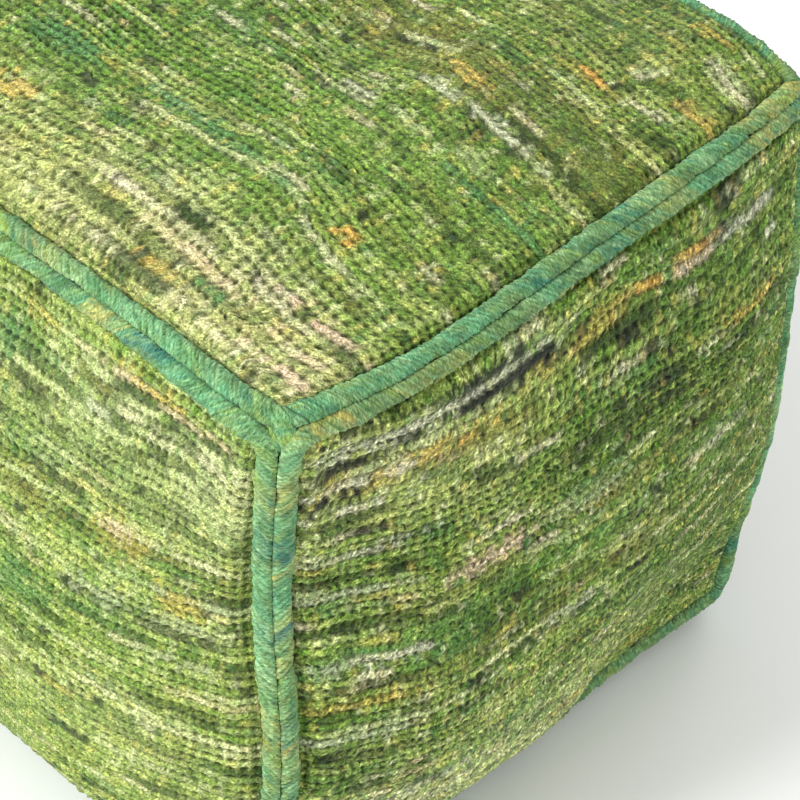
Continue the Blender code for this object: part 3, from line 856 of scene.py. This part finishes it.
def roll_turn(before, after):
    """The points between two runs, round a corner: a cubic curve that leaves and meets them smoothly."""
    start, end = before[-1], after[0]
    reach = TURN_HANDLE * np.linalg.norm((end - start)[:3])
    first = start + reach * (before[-1] - before[-2]) / np.linalg.norm((before[-1] - before[-2])[:3])
    second = end - reach * (after[1] - after[0]) / np.linalg.norm((after[1] - after[0])[:3])
    share = np.linspace(0, 1, TURN_POINTS + 2)[1:-1, None]
    rest = 1 - share
    curve = rest ** 3 * start + share ** 3 * end + 3 * rest * share * (rest * first + share * second)
    curve[:, 3] = (rest * start + share * end)[:, 3]
    return curve


def smoothed(values, times):
    """Values round a closed ring, each made a quarter of either neighbour and a half of itself."""
    for _ in range(times):
        values = (np.roll(values, 1, axis=0) + 2 * values + np.roll(values, -1, axis=0)) / 4
    return values


def ring_line(axis, side, rng):
    """A ring's middle line at even steps: the steps, its length, and middle, radius, out, beside, drift."""
    runs = [roll_run(axis, side, turn) for turn in range(4)]
    path = [part for turn, run in enumerate(runs) for part in (run, roll_turn(run, runs[(turn + 1) % 4]))]
    closed = np.concatenate([*path, path[0][:1]])
    run = np.concatenate([[0], np.cumsum(np.linalg.norm(np.diff(closed[:, :3], axis=0), axis=1))])
    at = np.linspace(0, run[-1], PATH_POINTS, endpoint=False)
    even = smoothed(np.stack([np.interp(at, run, values) for values in closed.T], axis=1), PATH_SMOOTHINGS)
    middle = even[:, :3]
    forward = unit(np.roll(middle, -1, axis=0) - np.roll(middle, 1, axis=0))
    out = unit(middle - MIDDLE)
    out = unit(out - forward * np.sum(out * forward, axis=1, keepdims=True))
    beside = np.cross(forward, out)
    beside *= np.sign(np.sum(beside * even[:, 7:10], axis=1, keepdims=True))
    slow = drift(rng, (PATH_POINTS, 2), (14, 9))[:, :1]
    return at, run[-1], np.concatenate([even[:, :4], out, beside, slow], axis=1), even[:, 4:7]


def edging_colours(name, places, rng):
    """Each wrap's colour: one yarn after another for chance lengths, then the named stretches."""
    wraps = len(places)
    shares = np.array([share for _, share in EDGING_YARNS])
    count = wraps // WRAPS_PER_YARN
    ends = np.cumsum(rng.gamma(2.0, 1.0, size=count))
    picks = rng.choice(len(EDGING_YARNS), size=count, p=shares / shares.sum())
    chosen = np.array([linear(yarn) for yarn, _ in EDGING_YARNS])[picks]
    colour = chosen[np.searchsorted(ends / ends[-1], (np.arange(wraps) + 0.5) / wraps)]
    colour = smoothed(colour, YARN_SMOOTHINGS)
    for ring, at_u, at_v, at_w, reach, yarn, share in STRETCHES:
        if ring not in (name, "both"):
            continue
        away = np.sum((places - [at_u, at_v, at_w]) ** 2, axis=1) / reach ** 2
        inside = np.exp(-away ** 2) + STRETCH_RAG * rng.normal(size=wraps) * (away < 3)
        colour = mix(colour, linear(yarn), share * ease(*STRETCH_BLEND, inside))
    return colour * (1 + WRAP_GRAIN * rng.normal(size=(wraps, 1)))


def mottled(colour, per_wrap, rng):
    """The wraps' colours with soft patches of other yarns, and a chance lightness from point to point."""
    shape = colour.shape[:2]
    for other, start, full, along_reach, round_reach, share in MOTTLES:
        soft = drift(rng, shape, (along_reach * per_wrap, round_reach))
        soft = soft + MOTTLE_RAG * rng.normal(size=shape)
        colour = mix(colour, linear(other), share * ease(start, full, soft))
    return EDGING_DYE * colour * (1 + EDGING_GRAIN * rng.normal(size=shape + (1,)))


def corner_ball(place, yarn, rng):
    """The stitches over one corner: a sphere with a ridge every second round, its poles closed.

    Returns its points, its faces by number, its colours, and how high each point is on its ridge.
    """
    seat = seated(place[None])[0]
    out = unit(seat - MIDDLE)
    sideways = unit(np.cross(out, [0, 0, 1]))
    upward = np.cross(out, sideways)
    lean = np.linspace(0, np.pi, BALL_ROUNDS)[1:-1, None, None]
    turn = (np.arange(BALL_SIDES) / BALL_SIDES * 2 * np.pi)[None, :, None]
    ridge = np.where(np.arange(1, BALL_ROUNDS - 1) % 2, 1.0, BALL_GROOVE)[:, None] * np.ones((1, BALL_SIDES))
    size = CORNER_BALL + BALL_RIDGE * WRAP_RISE * (ridge - 0.5)
    size = size + BALL_ROUGHNESS * rng.normal(size=ridge.shape)
    axis = unit(BALL_LEAN[0] * upward + BALL_LEAN[1] * sideways)
    second = unit(np.cross(axis, out))
    third = np.cross(axis, second)
    ring = np.cos(turn) * second + np.sin(turn) * third
    points = size[..., None] * (np.cos(lean) * axis + np.sin(lean) * ring)
    index = np.arange(ridge.size).reshape(ridge.shape)
    ahead = np.roll(index, -1, axis=1)
    quads = np.stack([index[:-1], index[1:], ahead[1:], ahead[:-1]], axis=-1).reshape(-1, 4)
    first_pole, last_pole = np.full((2, BALL_SIDES), [[ridge.size], [ridge.size + 1]])
    caps = np.concatenate([np.stack([first_pole, index[0], ahead[0]], axis=-1),
                           np.stack([last_pole, ahead[-1], index[-1]], axis=-1)])
    points = np.concatenate([points.reshape(-1, 3), [CORNER_BALL * axis, -CORNER_BALL * axis]])
    faces = quads.tolist() + caps.tolist()
    face = points[quads[len(quads) // 2]]
    if faces_away(face, face[0]):
        faces = [corners[::-1] for corners in faces]
    patches = drift(rng, (BALL_ROUNDS, BALL_SIDES), (3, 3)).ravel()[:len(points)]
    colour = mix(linear(yarn) * np.ones((len(points), 3)), linear("sprout"), ease(-0.5, 1.2, patches))
    colour = EDGING_DYE * colour * (1 + EDGING_GRAIN * rng.normal(size=(len(points), 1)))
    return points + seat + out * BALL_HEIGHT, faces, colour, np.append(ridge.ravel(), [0.5, 0.5])


def make_edging(number, entry, material):
    """A ring of overcast yarn: rounds of points carried along the roll's middle line, a few to a wrap.

    A round is a rounded square: radius = own radius / (|cos|^n + |sin|^n)^(1/n), n = ROLL_SQUARENESS,
    and up to SEAM_FILL more where it meets the next roll, cut off flat at the plane between the two. A
    round leans along the roll by WRAP_SLANT x sin(angle), and rises by WRAP_RISE x sin(pi x place in the
    wrap)^WRAP_ROUNDNESS. Each wrap is thicker or thinner by chance, with a spread of WRAP_UNEVEN. The
    angle starts on the hidden inner side. The top and bottom rings hold the stitches over the corners.
    """
    name, axis, side = entry[:3]
    rng = np.random.default_rng(RING_SEED + number)
    at, length, lines, places = ring_line(axis, side, rng)
    per_wrap = WRAP_POINTS[name]
    wraps = int(round(length / WRAP_PITCH))
    steps = wraps * per_wrap
    wrap = np.arange(steps) // per_wrap
    ends = np.cumsum(np.clip(1 + WRAP_WIDTH_CHANCE * rng.normal(size=wraps), *WRAP_WIDTHS))
    ends = np.concatenate([[0], ends / ends[-1] * length])
    angle = (np.arange(ROLL_SIDES) / ROLL_SIDES * 2 - 1) * np.pi
    along = np.interp(np.arange(steps) / per_wrap, np.arange(wraps + 1), ends)[:, None]
    along = along + WRAP_SLANT * np.sin(angle)
    values = np.stack([np.interp(along, at, line, period=length) for line in lines.T], axis=-1)
    middle, radius, thicker = values[..., :3], values[..., 3], values[..., 10]
    out, beside = unit(values[..., 4:7]), unit(values[..., 7:10])
    phase = (np.arange(steps) % per_wrap / per_wrap)[:, None] * np.ones((1, ROLL_SIDES))
    ridge = np.sin(np.pi * phase) ** WRAP_ROUNDNESS
    section = np.abs(np.cos(angle)) ** ROLL_SQUARENESS + np.abs(np.sin(angle)) ** ROLL_SQUARENESS
    filled = 1 + SEAM_FILL * np.clip(np.cos(angle - SEAM_FILL_ANGLE), 0, 1) ** SEAM_FILL_POWER
    around = radius * filled * (1 + ROLL_DRIFT * thicker) / section ** (1 / ROLL_SQUARENESS)
    around = around + WRAP_RISE * (ridge - WRAP_MEAN) + ROLL_ROUGHNESS * rng.normal(size=ridge.shape)
    around = around + ROLL_PATCHES * drift(rng, ridge.shape, (per_wrap * 2.2, 2.5))
    around = around + WRAP_UNEVEN * rng.normal(size=wraps)[wrap][:, None]
    sideways = np.minimum(around * np.sin(angle), radius + GAP / 2)
    points = middle + (around * np.cos(angle))[..., None] * out + sideways[..., None] * beside

    wrap_middles = (ends[:-1] + ends[1:]) / 2
    wrap_places = np.stack([np.interp(wrap_middles, at, line) for line in places.T], axis=1)
    colour = edging_colours(name, wrap_places, rng)[wrap][:, None] * np.ones((1, ROLL_SIDES, 1))
    colour = mottled(colour, per_wrap, rng).reshape(-1, 3)
    index = np.arange(steps * ROLL_SIDES).reshape(steps, ROLL_SIDES)
    ahead = np.roll(index, -1, axis=0)
    quads = np.stack([index, ahead, np.roll(ahead, -1, axis=1), np.roll(index, -1, axis=1)], axis=-1)
    quads = quads.reshape(-1, 4)
    points = points.reshape(-1, 3)
    if faces_away(points[quads[0]], points[0] - middle[0, 0]):
        quads = quads[:, ::-1]
    faces = quads.tolist()
    spread = np.stack(np.broadcast_arrays(along, radius * angle), axis=-1).reshape(-1, 2)
    rise = ridge.ravel()
    closed_corners = CORNERS if axis == 2 else ()
    for at_u, at_v, yarn in closed_corners:
        ball, ball_faces, ball_colour, ball_rise = corner_ball(np.array([at_u, at_v, side], float), yarn, rng)
        faces += [[corner + len(points) for corner in corners] for corners in ball_faces]
        spread = np.concatenate([spread, ball[:, :2] + ball[:, 2:] * [0.3, 0.9]])
        colour = np.concatenate([colour, ball_colour])
        rise = np.append(rise, ball_rise)
        points = np.concatenate([points, ball])
    piece = make_mesh(f"edging_{name}_yarn", points, faces, np.ones(len(faces), bool), material)
    dress(piece, np.clip(colour, DARKEST, 1), rise, spread)
    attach(piece, "root")
    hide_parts(f"edging_{name}")


# ---- Finishes ----
FIBRE_DETAIL = {"Scale": 1.0, "Detail": 2.0, "Roughness": 0.65}
FIBRE_SPAN = {"From Min": 0.3, "From Max": 0.7, "To Min": 0.68, "To Max": 1.36}
TUFT_PLACE = {"Scale": (0.9, 0.6, 1.0), "Location": (31.0, 17.0, 0.0)}
LIT = (2.1, 1.9, 2.3)               # what a yarn's colour is multiplied by on its brightest fibres: pale fibres, partly painted highlights
LIT_SPAN = (0.56, 0.67)             # noise from which a fibre is bright, and at which it is brightest
LIT_SHARE = 0.8
DIM_SPAN = (0.43, 0.32)             # the same for the dark fibres
DIM_SHARE = 0.6
HOLLOW_SHADE = (0.14, 0.17, 0.09)         # painted shade: what a yarn's colour is multiplied by, deep between loops
HOLLOW_SPAN = (0.75, 0.1)           # height on a loop at which the painted shade starts, and is full
HOLLOW_SHARE = 0.9
FINISHES = (
    # name           fibres per metre  lean  flecks painted hollow shade  bump
    ("woven_yarn",   (650.0, 950.0),   0.4,  1.0,   1.0,    0.0009),
    ("edging_yarn",  (900.0, 380.0),   0.5,  0.5,   0.2,    0.0014),
)


def socket(group, way, kind, name, value=None):
    made = group.interface.new_socket(name=name, in_out=way, socket_type=kind)
    if value is not None:
        made.default_value = value
    return made


def node(tree, kind, settings=(), values=()):
    made = tree.nodes.new(kind)
    for key, value in dict(settings).items():
        setattr(made, key, value)
    for key, value in dict(values).items():
        made.inputs[key].default_value = value
    return made


def ramp(tree, low, high):
    """A map from low to high onto 0 to 1, eased."""
    return node(tree, "ShaderNodeMapRange", {"interpolation_type": "SMOOTHSTEP"},
                {"From Min": low, "From Max": high})


def blend_node(tree, mode, share):
    return node(tree, "ShaderNodeMix", {"data_type": "RGBA", "blend_type": mode, "clamp_result": False},
                {"Factor": share})


def fibre_group():
    """Spun fibre: fine streaks along the yarn, pale flecks that are partly painted highlights, dark flecks,
    painted shade in the hollows, and a height.
    """
    group = bpy.data.node_groups.new("spun_fibre", "ShaderNodeTree")
    socket(group, "INPUT", "NodeSocketVector", "Place")
    socket(group, "INPUT", "NodeSocketColor", "Yarn", (0.3, 0.4, 0.2, 1))
    socket(group, "INPUT", "NodeSocketFloat", "Rise", 0.5)
    socket(group, "INPUT", "NodeSocketFloat", "Flecks", 1.0)
    socket(group, "INPUT", "NodeSocketFloat", "Hollow Shade", 1.0)
    socket(group, "OUTPUT", "NodeSocketColor", "Colour")
    socket(group, "OUTPUT", "NodeSocketFloat", "Height")
    start = node(group, "NodeGroupInput")
    end = node(group, "NodeGroupOutput")
    link = group.links.new

    fibres = node(group, "ShaderNodeTexNoise", {"noise_dimensions": "2D"}, FIBRE_DETAIL)
    link(start.outputs["Place"], fibres.inputs["Vector"])
    moved = node(group, "ShaderNodeMapping", {}, TUFT_PLACE)
    link(start.outputs["Place"], moved.inputs["Vector"])
    tufts = node(group, "ShaderNodeTexNoise", {"noise_dimensions": "2D"}, FIBRE_DETAIL)
    link(moved.outputs["Vector"], tufts.inputs["Vector"])

    value = node(group, "ShaderNodeMapRange", {}, FIBRE_SPAN)
    link(fibres.outputs["Fac"], value.inputs["Value"])
    shaded = blend_node(group, "MULTIPLY", 1.0)
    link(start.outputs["Yarn"], shaded.inputs["A"])
    link(value.outputs["Result"], shaded.inputs["B"])
    tuft, flecks = tufts.outputs["Fac"], start.outputs["Flecks"]
    rise, hollow_shade = start.outputs["Rise"], start.outputs["Hollow Shade"]
    # pale fibres with painted highlights on them: the yarn's colour multiplied by LIT
    pale = overlaid(group, shaded, tuft, LIT_SPAN, flecks, LIT_SHARE, LIT, "MULTIPLY")
    dark = overlaid(group, pale, tuft, DIM_SPAN, flecks, DIM_SHARE, linear("night"))
    # painted shade deep between loops and between wraps, laid on the colour by the height on the loop or wrap
    hollow_shaded = overlaid(group, dark, rise, HOLLOW_SPAN, hollow_shade, HOLLOW_SHARE, HOLLOW_SHADE, "MULTIPLY")
    link(hollow_shaded.outputs["Result"], end.inputs["Colour"])

    height = node(group, "ShaderNodeMath", {"operation": "ADD"})
    link(fibres.outputs["Fac"], height.inputs[0])
    link(tufts.outputs["Fac"], height.inputs[1])
    link(height.outputs["Value"], end.inputs["Height"])
    return group


def overlaid(tree, under, pattern, span, amount, share, colour, mode="MIX"):
    """A colour laid over `under` where the pattern passes through its span, by amount x share."""
    mask = ramp(tree, *span)
    tree.links.new(pattern, mask.inputs["Value"])
    some = node(tree, "ShaderNodeMath", {"operation": "MULTIPLY"})
    tree.links.new(mask.outputs["Result"], some.inputs[0])
    tree.links.new(amount, some.inputs[1])
    part = node(tree, "ShaderNodeMath", {"operation": "MULTIPLY"}, {1: share})
    tree.links.new(some.outputs["Value"], part.inputs[0])
    over = blend_node(tree, mode, 0.0)
    over.inputs["B"].default_value = (*colour, 1)
    tree.links.new(part.outputs["Value"], over.inputs["Factor"])
    tree.links.new(under.outputs["Result"], over.inputs["A"])
    return over


def yarn_finish(group, name, fibre_scale, lean, flecks, hollow_shade, bump):
    """Matt yarn: the piece's own colours through the fibre group, with a fine bump and a soft sheen."""
    material = bpy.data.materials.new(name)
    material.use_nodes = True
    tree = material.node_tree
    shader = tree.nodes["Principled BSDF"]
    shader.inputs["Roughness"].default_value = 0.95
    shader.inputs["Specular IOR Level"].default_value = 0.1
    shader.inputs["Sheen Weight"].default_value = 0.1
    shader.inputs["Sheen Roughness"].default_value = 0.5
    place = node(tree, "ShaderNodeUVMap", {"uv_map": "weave"})
    scaled = node(tree, "ShaderNodeMapping", {}, {"Scale": (*fibre_scale, 1.0), "Rotation": (0, 0, lean)})
    yarn = node(tree, "ShaderNodeAttribute", {"attribute_name": "yarn"})
    rise = node(tree, "ShaderNodeAttribute", {"attribute_name": "rise"})
    fibre = node(tree, "ShaderNodeGroup", {"node_tree": group})
    fibre.inputs["Flecks"].default_value = flecks
    # how much painted shade goes into the hollows
    fibre.inputs["Hollow Shade"].default_value = hollow_shade
    bumped = node(tree, "ShaderNodeBump", {}, {"Strength": 1.0, "Distance": bump})
    link = tree.links.new
    link(place.outputs["UV"], scaled.inputs["Vector"])
    link(scaled.outputs["Vector"], fibre.inputs["Place"])
    link(yarn.outputs["Color"], fibre.inputs["Yarn"])
    link(rise.outputs["Fac"], fibre.inputs["Rise"])
    link(fibre.outputs["Colour"], shader.inputs["Base Color"])
    link(fibre.outputs["Height"], bumped.inputs["Height"])
    link(bumped.outputs["Normal"], shader.inputs["Normal"])
    return material


# ---- Floor, light and camera ----
FLOOR_HALF = 12.0
VIEW_PLACE = (1.34944, -1.39034, 1.87684)
VIEW_RIGHT = (0.70932, 0.70263, 0.05642)
VIEW_UP = (-0.49478, 0.43928, 0.74982)
VIEW_AHEAD = (-0.50206, 0.55977, -0.65923)
LENS = 179.9
SENSOR_WIDTH = 36.0
LIGHTS = (
    # name      place                size  watts  aimed at
    ("window",  (-1.2, -3.6, 3.0),   2.0,  235.0, (0.0, 0.0, 0.25)),
    ("fill",    (3.8, 0.2, 2.0),     3.0,  40.0,  (0.0, 0.0, 0.2)),
    ("behind",  (-0.6, 3.4, 3.0),    2.6,  30.0,  (0.0, 0.0, 0.25)),
)
SURROUND = 0.74


def make_floor():
    corners = [(u * FLOOR_HALF, v * FLOOR_HALF, 0) for u, v in ((-1, -1), (1, -1), (1, 1), (-1, 1))]
    mesh = bpy.data.meshes.new("floor")
    mesh.from_pydata(corners, [], [(0, 1, 2, 3)])
    floor = bpy.data.objects.new("floor", mesh)
    bpy.context.scene.collection.objects.link(floor)
    material = bpy.data.materials.new("pale_floor")
    material.use_nodes = True
    shader = material.node_tree.nodes["Principled BSDF"]
    shader.inputs["Base Color"].default_value = (0.9, 0.9, 0.9, 1)
    shader.inputs["Roughness"].default_value = 0.9
    floor.data.materials.append(material)


def put(thing, place, right, upward, ahead):
    """The thing in the scene at a place, looking along ahead."""
    turn = np.stack([right, upward, -np.array(ahead)], axis=1)
    thing.matrix_world = Matrix.Translation(place) @ Matrix(turn.tolist()).to_4x4()
    bpy.context.scene.collection.objects.link(thing)


def make_light():
    world = bpy.data.worlds.new("studio")
    bpy.context.scene.world = world
    world.use_nodes = True
    world.node_tree.nodes["Background"].inputs["Color"].default_value = (1, 1, 1, 1)
    world.node_tree.nodes["Background"].inputs["Strength"].default_value = SURROUND
    for name, place, size, watts, target in LIGHTS:
        lamp = bpy.data.lights.new(name, "AREA")
        lamp.shape = "DISK"
        lamp.size = size
        lamp.energy = watts
        ahead = unit(np.array(target) - place)
        right = unit(np.cross(ahead, (0, 0, 1)))
        put(bpy.data.objects.new(name, lamp), place, right, np.cross(right, ahead), ahead)


def make_camera():
    camera = bpy.data.objects.new("camera", bpy.data.cameras.new("camera"))
    camera.data.lens = LENS
    camera.data.sensor_width = SENSOR_WIDTH
    put(camera, VIEW_PLACE, VIEW_RIGHT, VIEW_UP, VIEW_AHEAD)
    bpy.context.scene.camera = camera


def main():
    group = fibre_group()
    woven, wrapped = [yarn_finish(group, *finish) for finish in FINISHES]
    for number, entry in enumerate(PANELS):
        make_panel(number, entry, woven)
        make_edging(number, entry, wrapped)
    make_floor()
    make_light()
    make_camera()
    bpy.context.scene.view_settings.view_transform = "Standard"


main()
